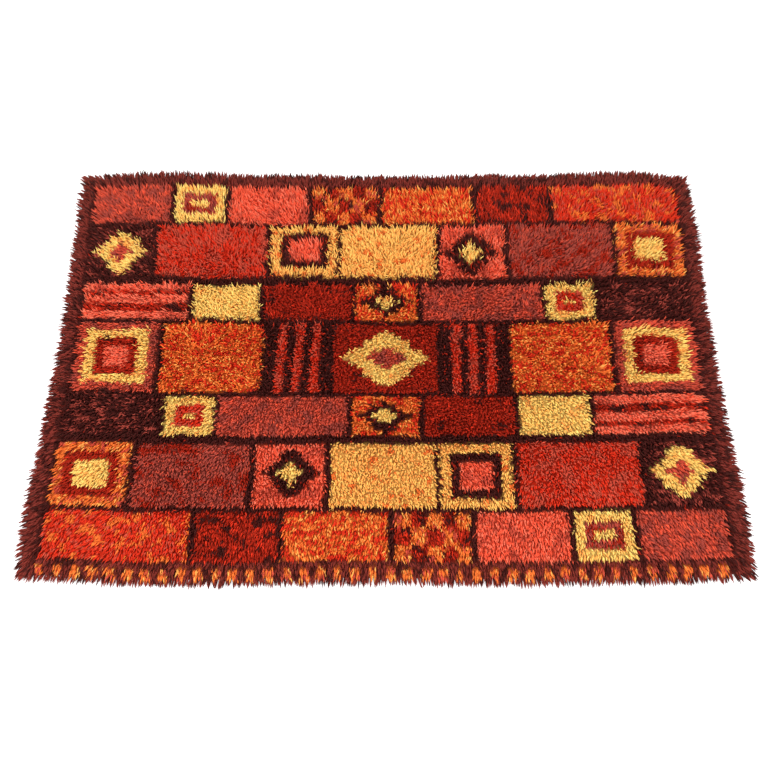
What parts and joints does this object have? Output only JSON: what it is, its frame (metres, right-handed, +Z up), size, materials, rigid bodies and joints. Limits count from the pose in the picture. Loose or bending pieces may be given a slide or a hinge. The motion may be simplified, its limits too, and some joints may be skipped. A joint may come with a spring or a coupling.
{
  "type": "rya rug",
  "caption": "Rectangular shag rug lying flat: a woven ground under a long knotted wool pile, with uneven locks of pile round its rim.",
  "frame": {"origin": "middle of the underside, on the floor", "axes": "+Z up out of the pile, +X along the long side to the right, +Y towards the far long side, so the pile lies towards -Y"},
  "size_m": [2, 1.4, 0.0429],
  "materials": {
    "pile_wool": "matt long wool pile in reds, oranges, gold and maroon"
  },
  "bodies": {
    "root": {"rug": "pile_wool"}
  },
  "joints": []
}
